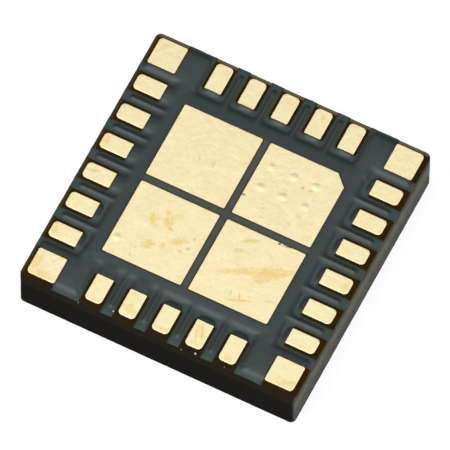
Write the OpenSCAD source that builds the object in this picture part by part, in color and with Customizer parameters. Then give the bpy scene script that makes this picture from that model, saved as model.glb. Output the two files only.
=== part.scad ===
// A land-grid chip package, all sizes in millimetres.
// It lies with its contact face up: z = 0 is the moulded face on the table,
// +Z comes out of the contact face, +X and +Y run along two sides of the body.

/* [Body] */
// side of the square body
body_size = 4.13; // [4.1:0.01:4.5]
// height of the moulded epoxy under the laminate
mould_height = 0.52; // [0.4:0.02:0.7]
// thickness of the glass and resin laminate
core_thickness = 0.2; // [0.1:0.02:0.4]
// radius of the body's four upright corners
body_corner = 0.08; // [0.04:0.01:0.14]
// diameter of the shallow first-contact dot in the moulded face
dot_diameter = 0.4; // [0.2:0.05:0.6]
// depth of the first-contact dot
dot_depth = 0.02; // [0.01:0.005:0.03]

/* [Layers] */
// thickness of the copper foil on both faces of the laminate
copper_thickness = 0.018; // [0.012:0.002:0.035]
// thickness of the solder mask where it lies over copper
mask_thickness = 0.012; // [0.01:0.002:0.025]
// how far the mask wraps out past the edges of the copper under it
mask_wrap = 0.014; // [0.008:0.002:0.02]
// thickness of the nickel and gold plating on each contact
plating_thickness = 0.006; // [0.003:0.001:0.009]

/* [Contacts] */
// spacing of the contacts along each side
pitch = 0.5; // [0.48:0.005:0.51]
// width of a side contact
land_width = 0.24; // [0.2:0.01:0.25]
// length of the part of a side contact that shows
land_length = 0.415; // [0.36:0.005:0.44]
// distance from the outer end of a contact to the sawn edge
edge_margin = 0.075; // [0.04:0.005:0.09]
// radius of a contact's two outer corners
land_outer_corner = 0.06; // [0.03:0.01:0.09]
// radius of a signal contact's hidden inner corners
land_inner_corner = 0.08; // [0.03:0.01:0.09]
// bare strip between a side contact and the mask beside it
notch_gap = 0.038; // [0.025:0.003:0.045]
// how far a signal contact runs on under the mask
land_under = 0.05; // [0.02:0.01:0.06]

/* [Ground] */
// side of each of the four inner ground pads
pad_size = 1.18; // [1:0.02:1.24]
// mask strip between neighbouring ground pads
pad_gap = 0.112; // [0.08:0.01:0.16]
// leg of the cut corner that marks the first contact
pad_chamfer = 0.167; // [0.1:0.01:0.3]
// copper-free strip between a signal contact and the ground foil
moat_width = 0.095; // [0.08:0.005:0.1]
// width of the ground finger between two side contacts
finger_width = 0.05; // [0.03:0.005:0.06]
// distance from the outer end of a ground finger to the sawn edge
finger_margin = 0.125; // [0.08:0.005:0.2]
// diameter of a thermal via
via_diameter = 0.1; // [0.06:0.01:0.11]
// spacing of the thermal vias
via_pitch = 0.333; // [0.28:0.01:0.35]
// diameter of the raised cap over each thermal via
cap_diameter = 0.13; // [0.12:0.01:0.2]
// height of the raised via cap
cap_height = 0.004; // [0.003:0.001:0.012]

/* [Inside] */
// side of the square copper paddle under the die
paddle_size = 2.5; // [2.44:0.02:2.6]
// die size along X
die_length = 1.5; // [1.3:0.05:1.6]
// die size along Y
die_width = 1.4; // [1.3:0.05:1.5]
// die thickness
die_thickness = 0.12; // [0.08:0.01:0.15]
// thickness of the die attach film
attach_thickness = 0.015; // [0.01:0.005:0.025]
// width of a bond finger
bond_finger_width = 0.13; // [0.1:0.01:0.2]
// diameter of a land via
land_via_diameter = 0.08; // [0.06:0.01:0.1]
// diameter of the gold bond wire
wire_diameter = 0.025; // [0.018:0.001:0.03]
// height of a wire loop above the line between its two bonds
loop_height = 0.09; // [0.06:0.01:0.12]

/* [Hidden] */

// contacts on the +X, -Y, -X and +Y sides, and the turn that takes +X to each
SIDE_COUNT = [6, 5, 6, 5];
SIDE_TURN = [0, -90, 180, 90];
// number of the first contact on each side
SIDE_FIRST = [1, 7, 12, 18];
// one letter for each contact: s is a signal with a wire, g joins the ground foil
LAND_KINDS = "sssssssssggssggggsssss";

// straight steps in a quarter turn of a small plan corner
corner_steps = 6;
// sides of a via plug, and of the first-contact dot and the via caps
via_sides = 12;
round_sides = 96;
// overlap of a cutting shape past the face it cuts, and of foil shapes that join
cut = 0.1;
lap = 0.1;
// small plan corners: ground foil, mask notch, mask window, ground pad and bond finger
foil_corner = 0.03;
notch_corner = 0.03;
window_corner = 0.015;
pad_corner = 0.02;
plane_corner = 0.02;
bond_finger_corner = 0.03;
paddle_corner = 0.05;
// share of half a ground finger's width that the corners of its end take
finger_round = 0.98;
// extra width of the moat beside the last contact of a side
last_moat = 0.015;
// distance of the first-contact dot's middle from two sides of the body
dot_inset = 0.5;

half = body_size / 2;
// outer and inner end of the part of a side contact that shows
row_out = half - edge_margin;
row_in = row_out - land_length;
row_mid = row_out - land_length / 2;
// edge of the ground foil that faces the inner ends of the contacts
plane_half = row_in - land_under - moat_width;
finger_end = half - finger_margin;
// where the ground foil starts again past the last contact of a side
corner_from = [for (n = SIDE_COUNT) (n - 1) / 2 * pitch + land_width / 2 + moat_width + last_moat];
pad_mid = (pad_size + pad_gap) / 2;

// levels, from the table up
core_bottom = mould_height;
core_top = core_bottom + core_thickness;
copper_top = core_top + copper_thickness;
mask_top = copper_top + mask_thickness;
contact_top = copper_top + plating_thickness;
// levels under the laminate, from the laminate down
foil_low = core_bottom - copper_thickness;
attach_low = foil_low - attach_thickness;
die_low = attach_low - die_thickness;

die_x = 0.3;
die_y = 0.35;
die_at = [die_x, die_y];
die_pad_pitch = 0.22;
die_pad_inset = 0.06;
// offset of the via array from the middle of the first ground pad, and the place of the lone via
via_shift_x = 0.081;
via_shift_y = 0.069;
via_array = [pad_mid - via_pitch - via_shift_x, pad_mid - via_shift_y];
lone_via_x = -1.147;
lone_via_y = -0.968;
lone_via = [lone_via_x, lone_via_y];
THERMAL_VIAS = concat(
  [for (i = [0:2], j = [0:1]) via_array + [i, j] * via_pitch],
  [lone_via]
);

// reach of a bond finger inwards and outwards from the middle of its contact
finger_reach_in = 0.33;
finger_reach_out = 0.02;
bond_finger_in = row_mid - finger_reach_in;
bond_finger_out = row_mid + finger_reach_out;
land_via_inset = 0.06;
land_via_at = row_mid - land_via_inset;
// each wire starts and ends inside a small flat bond
bond_radius = 0.028;
bond_cover = 0.002;
bond_height = wire_diameter + bond_cover;
bond_inset = 0.07;
wire_steps = 9;
wire_sides = 6;
// powers that bring the top of the loop and the rings of the wire nearer to the die
loop_skew = 0.55;
ring_skew = 1.5;
// short way along a wire that gives its direction
run_share = 0.02;

// side, number on that side and place along that side of contact i
function side_of(i) = i < SIDE_FIRST[1] ? 0 : i < SIDE_FIRST[2] ? 1 : i < SIDE_FIRST[3] ? 2 : 3;
function number_of(i) = i - SIDE_FIRST[side_of(i)];
function along(i) = ((SIDE_COUNT[side_of(i)] - 1) / 2 - number_of(i)) * pitch;
function is_ground(i) = LAND_KINDS[i - 1] == "g";
function turned(p, a) = [p[0] * cos(a) - p[1] * sin(a), p[0] * sin(a) + p[1] * cos(a)];

// a quarter arc, or its corner point when the radius is nothing
function arc(c, r, from) = r <= 0 ? [c]
  : [for (k = [0:corner_steps]) let (a = from + 90 * k / corner_steps) c + r * [cos(a), sin(a)]];

// outline of a box with its own radius in each corner: low x low y, then counter-clockwise
function box_points(x0, y0, x1, y1, r) = concat(
  arc([x0 + r[0], y0 + r[0]], r[0], 180),
  arc([x1 - r[1], y0 + r[1]], r[1], 270),
  arc([x1 - r[2], y1 - r[2]], r[2], 0),
  arc([x0 + r[3], y1 - r[3]], r[3], 90)
);

module plan_box(x0, y0, x1, y1, r) polygon(box_points(x0, y0, x1, y1, r));

module body_plan() plan_box(-half, -half, half, half, [1, 1, 1, 1] * body_corner);

// a slab from level a to level b
module slab(a, b) translate([0, 0, a]) linear_extrude(b - a) children();

// places a shape that is drawn pointing to +X at contact i
module at_land(i) rotate(SIDE_TURN[side_of(i)]) translate([0, along(i)]) children();

// foil of one signal contact, with the rounded inner end that the mask covers
module signal_plan(grow) plan_box(
  row_in - land_under - grow, -land_width / 2 - grow, row_out + grow, land_width / 2 + grow,
  [land_inner_corner + grow, land_outer_corner + grow, land_outer_corner + grow, land_inner_corner + grow]
);

// foil of one ground contact and the neck that joins it to the ground foil
module neck_plan(grow) plan_box(
  plane_half - lap, -land_width / 2 - grow, row_out + grow, land_width / 2 + grow,
  [0, land_outer_corner + grow, land_outer_corner + grow, 0]
);

// ground finger between contacts number k and k + 1 of a side with n contacts
module finger_plan(n, k, grow) translate([0, ((n - 2) / 2 - k) * pitch]) plan_box(
  plane_half - lap, -finger_width / 2 - grow, finger_end + grow, finger_width / 2 + grow,
  [0, 1, 1, 0] * finger_round * (finger_width / 2 + grow)
);

// ground foil in the corner at +X +Y; the other corners are its mirror images
module corner_plan(grow) {
  plan_box(
    corner_from[1] - grow, corner_from[0] - grow, row_out + grow, row_out + grow,
    [0, foil_corner + grow, land_outer_corner + grow, foil_corner + grow]
  );
  plan_box(
    corner_from[1] - grow, plane_half - lap, plane_half + grow, row_out - lap,
    [0, 0, 0, 0]
  );
}

module ground_plan(grow) {
  side = plane_half + grow;
  plan_box(-side, -side, side, side, [1, 1, 1, 1] * plane_corner);
  for (s = [0:3]) rotate(SIDE_TURN[s]) for (k = [0:SIDE_COUNT[s] - 2])
    finger_plan(SIDE_COUNT[s], k, grow);
  for (x = [0, 1], y = [0, 1]) mirror([x, 0]) mirror([0, y]) corner_plan(grow);
  for (i = [1:len(LAND_KINDS)]) if (is_ground(i)) at_land(i) neck_plan(grow);
}

module signals_plan(grow)
  for (i = [1:len(LAND_KINDS)]) if (!is_ground(i)) at_land(i) signal_plan(grow);

// the part of a side contact that shows
module contact_plan() plan_box(
  row_in, -land_width / 2, row_out, land_width / 2, [0, land_outer_corner, land_outer_corner, 0]
);

module corner_contact_plan() plan_box(
  row_in, row_in, row_out, row_out, [window_corner, foil_corner, land_outer_corner, foil_corner]
);

// ground pad q, drawn in the +X +Y quarter and turned; pad 1 has the cut corner
module pad_plan(q) {
  low = pad_mid - pad_size / 2;
  high = pad_mid + pad_size / 2;
  if (q == 1)
    polygon([[low, low], [high, low], [high, high - pad_chamfer], [high - pad_chamfer, high], [low, high]]);
  else
    plan_box(low, low, high, high, [1, 1, 1, 1] * pad_corner);
}
module at_quarter(q) rotate((q - 1) * -90) children();

// openings in the mask: a notch out to the edge at each contact, a window at each ground pad
module openings_plan() {
  for (i = [1:len(LAND_KINDS)]) at_land(i) plan_box(
    row_in, -land_width / 2 - notch_gap, half + cut, land_width / 2 + notch_gap, [1, 0, 0, 1] * notch_corner
  );
  for (q = [1:4]) {
    at_quarter(q) plan_box(row_in, row_in, half + cut, half + cut, [1, 0, 0, 0] * window_corner);
    at_quarter(q) pad_plan(q);
  }
}

// the mask fills the strips between the foil and lies over the foil as a raised second level
module solder_mask() color("#3d4a4c") {
  slab(core_top, copper_top) difference() {
    body_plan();
    ground_plan(0);
    signals_plan(0);
    openings_plan();
  }
  slab(copper_top, mask_top) difference() {
    union() {
      ground_plan(mask_wrap);
      signals_plan(mask_wrap);
    }
    openings_plan();
  }
}

module ground_copper() color("#b87333") slab(core_top, copper_top) ground_plan(0);

module signal_copper() color("#b87333") slab(core_top, copper_top) signals_plan(0);

// nickel and gold on the part of contact i that shows
module land(i) color("#e8d8a0") slab(copper_top, contact_top) at_land(i) contact_plan();

module corner_land(q) color("#e8d8a0") slab(copper_top, contact_top) at_quarter(q) corner_contact_plan();

// a shallow dome that stands on the plating over a via
module via_cap(p) {
  ball = (pow(cap_diameter / 2, 2) + pow(cap_height, 2)) / (2 * cap_height);
  translate([p[0], p[1], contact_top]) intersection() {
    translate([0, 0, cap_height - ball]) sphere(ball, $fn = round_sides);
    translate([-cap_diameter, -cap_diameter, -plating_thickness / 2])
      cube([2 * cap_diameter, 2 * cap_diameter, cap_height + plating_thickness]);
  }
}

module ground_pad(q) color("#e8d8a0") {
  slab(copper_top, contact_top) at_quarter(q) pad_plan(q);
  if (q == 1) for (k = [0:5]) via_cap(THERMAL_VIAS[k]);
  if (q == 3) via_cap(lone_via);
}

// twelve-sided plugs, so that each plug and its hole have the same faces
module thermal_vias() color("#b87333") for (p = THERMAL_VIAS)
  translate([p[0], p[1], core_bottom]) cylinder(h = core_thickness, d = via_diameter, $fn = via_sides);

module land_vias() color("#b87333") for (i = [1:len(LAND_KINDS)]) if (!is_ground(i))
  at_land(i) translate([land_via_at, 0, core_bottom])
    cylinder(h = core_thickness, d = land_via_diameter, $fn = via_sides);

module laminate_core() color("#4a3418") difference() {
  slab(core_bottom, core_top) body_plan();
  for (p = THERMAL_VIAS) translate([p[0], p[1], core_bottom - cut])
    cylinder(h = core_thickness + 2 * cut, d = via_diameter, $fn = via_sides);
  for (i = [1:len(LAND_KINDS)]) if (!is_ground(i)) at_land(i) translate([land_via_at, 0, core_bottom - cut])
    cylinder(h = core_thickness + 2 * cut, d = land_via_diameter, $fn = via_sides);
}

module die_paddle() color("#b87333") slab(foil_low, core_bottom) plan_box(
  -paddle_size / 2, -paddle_size / 2, paddle_size / 2, paddle_size / 2, [1, 1, 1, 1] * paddle_corner
);

module bond_fingers() color("#e8d8a0") slab(foil_low, core_bottom)
  for (i = [1:len(LAND_KINDS)]) if (!is_ground(i)) at_land(i) plan_box(
    bond_finger_in, -bond_finger_width / 2, bond_finger_out, bond_finger_width / 2,
    [1, 1, 1, 1] * bond_finger_corner
  );

module die_plan() translate(die_at) square([die_length, die_width], center = true);

module die_attach() color("#9a9a94") slab(attach_low, foil_low) die_plan();

module die() color("#50545c") slab(die_low, attach_low) die_plan();

// middle of the bond of contact i on the die and on its bond finger
function die_bond(i) = die_at + turned([
  (side_of(i) % 2 == 0 ? die_length : die_width) / 2 - die_pad_inset,
  ((SIDE_COUNT[side_of(i)] - 1) / 2 - number_of(i)) * die_pad_pitch
], SIDE_TURN[side_of(i)]);
function finger_bond(i) = turned([bond_finger_in + bond_inset, along(i)], SIDE_TURN[side_of(i)]);

// point of wire i at the share t of its way: it leaves the die steeply and lands gently
function wire_point(i, t) = let (
  a = die_bond(i), b = finger_bond(i),
  za = die_low - bond_height / 2, zb = foil_low - bond_height / 2
) [a[0] + (b[0] - a[0]) * t, a[1] + (b[1] - a[1]) * t,
   za + (zb - za) * t - loop_height * sin(180 * pow(t, loop_skew))];

function unit(v) = v / norm(v);

// ring of points round wire i at the share t, square to its run
function wire_ring(i, t) = let (
  run = unit(wire_point(i, min(t + run_share, 1)) - wire_point(i, max(t - run_share, 0))),
  flat = unit([-run[1], run[0], 0]),
  lift = cross(run, flat)
) [for (k = [0:wire_sides - 1]) let (a = 360 * k / wire_sides)
  wire_point(i, t) + wire_diameter / 2 * (cos(a) * flat + sin(a) * lift)];

module wire(i) {
  n = wire_sides;
  last = wire_steps * n;
  points = [for (s = [0:wire_steps]) each wire_ring(i, pow(s / wire_steps, ring_skew))];
  skin = [for (s = [0:wire_steps - 1], k = [0:n - 1], half_face = [0, 1]) let (
    a = s * n + k, b = s * n + (k + 1) % n
  ) half_face == 0 ? [a, b, b + n] : [a, b + n, a + n]];
  near = [[for (k = [n - 1:-1:0]) k]];
  far = [[for (k = [0:n - 1]) last + k]];
  polyhedron(points, concat(skin, near, far));
  for (at = [[die_bond(i), die_low], [finger_bond(i), foil_low]])
    translate([at[0][0], at[0][1], at[1] - bond_height])
      cylinder(h = bond_height, r = bond_radius, $fn = via_sides);
}

module bond_wires() color("#e8c860") for (i = [1:len(LAND_KINDS)]) if (!is_ground(i)) wire(i);

// the epoxy flows round everything under the laminate
module mould_cap() color("#26241f") difference() {
  slab(0, core_bottom) body_plan();
  die_paddle();
  bond_fingers();
  die_attach();
  die();
  bond_wires();
  translate([half - dot_inset, half - dot_inset, -cut])
    cylinder(h = dot_depth + cut, d = dot_diameter, $fn = round_sides);
}

mould_cap();
laminate_core();
ground_copper();
signal_copper();
solder_mask();
land(1);  // land_01
land(2);  // land_02
land(3);  // land_03
land(4);  // land_04
land(5);  // land_05
land(6);  // land_06
land(7);  // land_07
land(8);  // land_08
land(9);  // land_09
land(10);  // land_10
land(11);  // land_11
land(12);  // land_12
land(13);  // land_13
land(14);  // land_14
land(15);  // land_15
land(16);  // land_16
land(17);  // land_17
land(18);  // land_18
land(19);  // land_19
land(20);  // land_20
land(21);  // land_21
land(22);  // land_22
corner_land(1);  // corner_land_1
corner_land(2);  // corner_land_2
corner_land(3);  // corner_land_3
corner_land(4);  // corner_land_4
ground_pad(1);  // ground_pad_1
ground_pad(2);  // ground_pad_2
ground_pad(3);  // ground_pad_3
ground_pad(4);  // ground_pad_4
thermal_vias();
land_vias();
die_paddle();
bond_fingers();
die_attach();
die();
bond_wires();
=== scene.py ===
# %% [markdown]
# # A land-grid chip package, contact face up
# The object is a square chip package about four millimetres wide. It lies on its black moulded
# face, and shows a thin laminate with gold-plated contacts and a dark cured mask.
# The frame below holds the exact solids. Each cell dresses one piece of it, in the same place.

# %% Load the frame
import functools
import math

import bpy
import numpy as np
from mathutils import Matrix, Vector


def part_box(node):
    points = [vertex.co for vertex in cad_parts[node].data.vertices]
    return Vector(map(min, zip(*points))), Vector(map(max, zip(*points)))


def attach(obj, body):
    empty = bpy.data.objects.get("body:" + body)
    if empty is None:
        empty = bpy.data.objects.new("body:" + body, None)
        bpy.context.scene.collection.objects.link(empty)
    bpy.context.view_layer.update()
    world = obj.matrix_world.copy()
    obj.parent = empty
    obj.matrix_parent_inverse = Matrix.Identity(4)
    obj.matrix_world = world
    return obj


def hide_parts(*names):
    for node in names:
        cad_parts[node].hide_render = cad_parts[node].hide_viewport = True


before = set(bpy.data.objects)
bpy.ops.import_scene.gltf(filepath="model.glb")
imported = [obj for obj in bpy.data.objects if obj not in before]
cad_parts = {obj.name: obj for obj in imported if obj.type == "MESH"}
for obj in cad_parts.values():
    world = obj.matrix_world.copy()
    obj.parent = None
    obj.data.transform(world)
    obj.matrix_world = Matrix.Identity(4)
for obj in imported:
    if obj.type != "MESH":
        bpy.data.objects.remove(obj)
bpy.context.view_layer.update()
print("frame holds", len(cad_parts), "solids")

# %% [markdown]
# ## Sizes
# Sizes are in millimetres. The main ones are read from the solids, so that a piece lands where its
# solid is. The strips of the foil have no boxes of their own, so their widths are written out.

# %% Sizes in millimetres
MM = 0.001


def node_box(node):
    """Lowest and highest corner of a solid, in millimetres."""
    low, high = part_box(node)
    return np.array(low) / MM, np.array(high) / MM


half = node_box("mould_cap")[1][0]
core_bottom = node_box("mould_cap")[1][2]
core_top, copper_top = (corner[2] for corner in node_box("ground_copper"))
mask_top = node_box("solder_mask")[1][2]
first_low, first_high = node_box("land_01")
contact_top = first_high[2]
row_in, row_out = first_low[0], first_high[0]
land_width = first_high[1] - first_low[1]
pitch = first_low[1] - node_box("land_02")[0][1]
pad_low, pad_high = node_box("ground_pad_1")[0][0], node_box("ground_pad_1")[1][0]

# corner radii
body_corner = 0.08
land_outer_corner = 0.06
land_inner_corner = 0.08
notch_corner = 0.03
window_corner = 0.015
pad_corner = 0.02
plane_corner = 0.02
foil_corner = 0.03
moat_fillet = 0.09
# widths and gaps
land_under = 0.05
notch_gap = 0.038
notch_half = land_width / 2 + notch_gap
pad_chamfer = 0.167
moat_width = 0.095
last_moat = 0.015
finger_width = 0.05
finger_setback = 0.125
finger_end = half - finger_setback
plane_half = row_in - land_under - moat_width
# how far a shape runs on under or past another
lap = 0.1
# the printed foil and its notches lie this far off the mask's windows, towards +Y
print_shift = 0.0105
# contacts on the sides at +X, -Y, -X and +Y, and for each one s for signal or g for ground
SIDE_COUNT = (6, 5, 6, 5)
LAND_KINDS = "sssssssssggssggggsssss"
LANDS = [
    (side, ((count - 1) / 2 - place) * pitch)
    for side, count in enumerate(SIDE_COUNT)
    for place in range(count)
]
print("body half", round(half, 3), "pitch", round(pitch, 3), "contacts", len(LANDS))

# %% [markdown]
# ## Plan shapes as distances
# A flat outline is handiest as a signed distance: below zero inside, above zero outside. A union
# is then the least of several distances, and a rounded edge or a slope is a function of one.

# %% Distances of simple shapes
def smooth(t):
    """Smooth step: 0 below 0, 1 above 1, and 3t^2 - 2t^3 between."""
    t = np.clip(t, 0.0, 1.0)
    return t * t * (3.0 - 2.0 * t)


def box_distance(x, y, low, high, radii):
    """Signed distance to a box with its own corner radii, counter-clockwise from low x, low y.

    Each quarter uses its own radius r: the box is shrunk by r, and r is taken off the distance.
    """
    dx = x - (low[0] + high[0]) / 2
    dy = y - (low[1] + high[1]) / 2
    below = np.where(dx < 0, radii[0], radii[1])
    above = np.where(dx < 0, radii[3], radii[2])
    r = np.where(dy < 0, below, above)
    qx = np.abs(dx) - (high[0] - low[0]) / 2 + r
    qy = np.abs(dy) - (high[1] - low[1]) / 2 + r
    outside = np.hypot(np.maximum(qx, 0), np.maximum(qy, 0))
    return outside + np.minimum(np.maximum(qx, qy), 0) - r


def soft_least(a, b):
    """Least of two distances, with the inner corner between their shapes filled like a fillet.

    Where they differ by less than the fillet k, (k - |a - b|)^2 / 4k is taken off.
    """
    near = np.maximum(moat_fillet - np.abs(a - b), 0)
    return np.minimum(a, b) - near**2 / (4 * moat_fillet)


def side_frame(x, y, side):
    """Plan coordinates of one side: first outwards, then along it. Each side is a quarter turn on."""
    return ((x, y), (-y, x), (-x, -y), (y, -x))[side]


def body_distance(x, y):
    """The body's square outline with its four rounded corners."""
    return box_distance(x, y, (-half, -half), (half, half), (body_corner,) * 4)


middle = np.zeros(1)
print("the middle lies", round(-body_distance(middle, middle)[0], 3), "mm inside the body's outline")

# %% [markdown]
# ## Contacts and openings
# The foil and the mask's openings are printed from two films, which never line up exactly. So a
# contact takes its inner end from the mask and its free edges from the print of the foil.

# %% Contacts and openings in plan
def printed_place(side, along):
    """A contact's place along its side, with the shift of the print."""
    return along + side_frame(0.0, print_shift, side)[1]


def land_distance(x, y, side, along, grow, start=row_in):
    """The part of a side contact that shows: the mask sets its inner end, the print the rest."""
    out, run = side_frame(x, y, side)
    shift_out = side_frame(0.0, print_shift, side)[0]
    mid, reach = printed_place(side, along), land_width / 2 + grow
    low, high = (start, mid - reach), (row_out + shift_out + grow, mid + reach)
    outer = land_outer_corner + grow
    return box_distance(out, run, low, high, (window_corner, outer, outer, window_corner))


def corner_distance(x, y, start=row_in):
    """The four corner contacts as mirror images of one, apart from the shift of the print."""
    radii = (window_corner, foil_corner, land_outer_corner, foil_corner)
    high = (row_out, row_out + print_shift * np.sign(y))
    return box_distance(np.abs(x), np.abs(y), (start, start), high, radii)


def pad_distance(x, y):
    """The four ground pads as mirror images of one; the pad at +X +Y has a cut corner."""
    pads = box_distance(np.abs(x), np.abs(y), (pad_low,) * 2, (pad_high,) * 2, (pad_corner,) * 4)
    cut = (x + y - (2 * pad_high - pad_chamfer)) / math.sqrt(2)
    return np.where((x > 0) & (y > 0), np.maximum(pads, cut), pads)


def opening_distance(x, y):
    """All openings of the mask: a notch out to the edge at each contact, and the windows."""
    radii = (notch_corner, 0.0, 0.0, notch_corner)
    shapes = [pad_distance(x, y)]
    for side, along in LANDS:
        out, run = side_frame(x, y, side)
        mid = printed_place(side, along)
        low, high = (row_in, mid - notch_half), (half + lap, mid + notch_half)
        shapes.append(box_distance(out, run, low, high, radii))
    low, high = (row_in, row_in), (half + lap, half + lap)
    shapes.append(box_distance(np.abs(x), np.abs(y), low, high, (window_corner, 0.0, 0.0, 0.0)))
    return np.minimum.reduce(shapes)


print("the middle lies", round(opening_distance(middle, middle)[0], 3), "mm from the nearest opening")

# %% [markdown]
# ## Foil under the mask
# The ground foil is one sheet with fingers between the contacts and necks to some of them. The
# signal contacts are islands in it, with a copper-free moat round their inner ends. The foil shows
# only through the mask, which copies its outline.

# %% Foil in plan
def contact_shapes(x, y, wanted, start, inner):
    """Distances to the foil of the side contacts of one kind, from a given start outwards."""
    outer = land_outer_corner
    shapes = []
    for (side, along), kind in zip(LANDS, LAND_KINDS):
        if kind == wanted:
            out, run = side_frame(x, y, side)
            low, high = (start, along - land_width / 2), (row_out, along + land_width / 2)
            shapes.append(box_distance(out, run, low, high, (inner, outer, outer, inner)))
    return shapes


def ground_foil(x, y):
    """The ground foil: a square with fingers and necks to its contacts, and the four corners."""
    square = (plane_half, plane_half)
    shapes = [box_distance(x, y, (-plane_half, -plane_half), square, (plane_corner,) * 4)]
    for side, count in enumerate(SIDE_COUNT):
        out, run = side_frame(x, y, side)
        tip = finger_width / 2
        for gap in range(count - 1):
            mid = ((count - 2) / 2 - gap) * pitch
            low, high = (plane_half - lap, mid - tip), (finger_end, mid + tip)
            shapes.append(box_distance(out, run, low, high, (0.0, tip, tip, 0.0)))
    shapes += contact_shapes(x, y, "g", plane_half - lap, 0.0)
    last = land_width / 2 + moat_width + last_moat
    corner_x = (SIDE_COUNT[1] - 1) / 2 * pitch + last
    corner_y = (SIDE_COUNT[0] - 1) / 2 * pitch + last
    ax, ay = np.abs(x), np.abs(y)
    radii = (0.0, foil_corner, land_outer_corner, foil_corner)
    shapes.append(box_distance(ax, ay, (corner_x, corner_y), (row_out, row_out), radii))
    low, high = (corner_x, plane_half - lap), (plane_half, row_out - lap)
    shapes.append(box_distance(ax, ay, low, high, (0.0,) * 4))
    return functools.reduce(soft_least, shapes)


def signal_foil(x, y):
    """The foil of the signal contacts, which ends with round corners under the mask."""
    return np.minimum.reduce(contact_shapes(x, y, "s", row_in - land_under, land_inner_corner))


def foil_distance(x, y):
    """All foil under the mask, at its printed place."""
    y = y - print_shift
    return np.minimum(ground_foil(x, y), signal_foil(x, y))


print("the middle lies", round(-foil_distance(middle, middle)[0], 3), "mm inside the foil's outline")

# %% [markdown]
# ## One sheet for every flat piece
# Mask, contacts, laminate and mould are flat shapes with a top, a bottom and a wall. Boolean cuts
# would leave long thin faces that shade badly. Here a grid in plan keeps the cells inside the
# outline, and its rim slides onto the outline. Grid lines run through the corners, so those stay
# sharp.

# %% Grid in plan
line_digits = 4
merge_share = 5
slope_reach = 1e-4
least_slope = 1e-12
rim_moves = 2


def grid_lines(edges, step):
    """Grid lines through every edge, with equal steps of at most the given size between them.

    Edges closer together than a fifth of the step count as one.
    """
    edges = np.unique(np.round(edges, line_digits))
    edges = edges[np.concatenate([[True], np.diff(edges) > step / merge_share])]
    spans = [
        np.linspace(a, b, math.ceil((b - a) / step), endpoint=False)
        for a, b in zip(edges[:-1], edges[1:])
    ]
    return np.concatenate(spans + [edges[-1:]])


def slope_of(field, x, y):
    """Unit direction in which a field grows fastest, by central differences."""
    gx = field(x + slope_reach, y) - field(x - slope_reach, y)
    gy = field(x, y + slope_reach) - field(x, y - slope_reach)
    size = np.maximum(np.hypot(gx, gy), least_slope)
    return gx / size, gy / size


def plan_grid(lines_x, lines_y, outline):
    """Grid points, the cells whose middle lies inside the outline, and their used and rim points.

    Rim points move along the outline's slope by their distance, so they land on the outline.
    """
    x, y = np.meshgrid(lines_x, lines_y, indexing="ij")
    mid_x = (x[:-1, :-1] + x[1:, 1:]) / 2
    mid_y = (y[:-1, :-1] + y[1:, 1:]) / 2
    cells = np.pad(outline(mid_x, mid_y) < 0, 1)
    around = np.stack([cells[:-1, :-1], cells[1:, :-1], cells[:-1, 1:], cells[1:, 1:]])
    used = around.any(axis=0)
    rim = used & ~around.all(axis=0)
    rim_x, rim_y = x[rim], y[rim]
    for _ in range(rim_moves):
        way_x, way_y = slope_of(outline, rim_x, rim_y)
        gap = outline(rim_x, rim_y)
        rim_x, rim_y = rim_x - gap * way_x, rim_y - gap * way_y
    x[rim], y[rim] = rim_x, rim_y
    return x, y, cells, used, rim


trial_lines = grid_lines([-half, half], half / 2)
print("lines of a coarse grid:", trial_lines.round(3))

# %% [markdown]
# ## From a grid to a closed surface
# The top and the bottom are the same cells at two heights. The wall joins their rims by layers of
# points, so that it can carry a rounded edge or saw ridges.

# %% Closed sheet
def level(height):
    """A flat top or bottom at one height."""
    return lambda x, y: np.full_like(x, height)


def wall_rings(upper, lower, ways, layers, bulge):
    """Rings of points between two rims, spaced as a cosine so that they crowd at both.

    Bulge gives how far a point of the wall moves outwards.
    """
    rings = []
    for share in (1 - np.cos(np.pi * np.arange(1, layers) / layers)) / 2:
        ring = upper * (1 - share) + lower * share
        if bulge is not None:
            push = bulge(ring[:, 0], ring[:, 1], ring[:, 2])
            ring[:, 0] += push * ways[0]
            ring[:, 1] += push * ways[1]
        rings.append(ring)
    return rings


def sheet_surface(lines_x, lines_y, outline, top, low, layers=1, bulge=None):
    """Points and faces of a sheet over the cells inside an outline.

    Top and low give the height at a point, and the wall has the given number of layers.
    """
    x, y, cells, used, rim = plan_grid(lines_x, lines_y, outline)
    count = int(used.sum())
    number = np.full(x.shape, -1)
    number[used] = np.arange(count)
    top_points = np.stack([x[used], y[used], top(x[used], y[used])], axis=1)
    low_points = np.stack([x[used], y[used], low(x[used], y[used])], axis=1)
    edge = number[rim]
    ways = slope_of(outline, x[rim], y[rim])
    rings = wall_rings(top_points[edge], low_points[edge], ways, layers, bulge)
    points = np.concatenate([top_points, low_points] + rings)

    inside = cells[1:-1, 1:-1]
    a, b, c, d = number[:-1, :-1], number[1:, :-1], number[1:, 1:], number[:-1, 1:]
    tiles = np.stack([a, b, c, d], axis=2)[inside]
    faces = [tiles, tiles[:, ::-1] + count]
    place = np.full(count, -1)
    place[edge] = np.arange(len(edge))
    levels = [np.arange(count)]
    levels += [2 * count + len(edge) * k + place for k in range(layers - 1)]
    levels += [np.arange(count) + count]
    borders = (
        (cells[1:-1, :-2], a, b), (cells[2:, 1:-1], b, c),
        (cells[1:-1, 2:], c, d), (cells[:-2, 1:-1], d, a),
    )
    for neighbour, start, end in borders:
        p, q = start[inside & ~neighbour], end[inside & ~neighbour]
        for upper, lower in zip(levels[:-1], levels[1:]):
            faces.append(np.stack([upper[p], lower[p], lower[q], upper[q]], axis=1))
    return points, np.concatenate(faces)


trial_points, trial_faces = sheet_surface(
    trial_lines, trial_lines, body_distance, level(core_top), level(core_bottom),
)
print("a coarse trial sheet has", len(trial_points), "points and", len(trial_faces), "faces")

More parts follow.
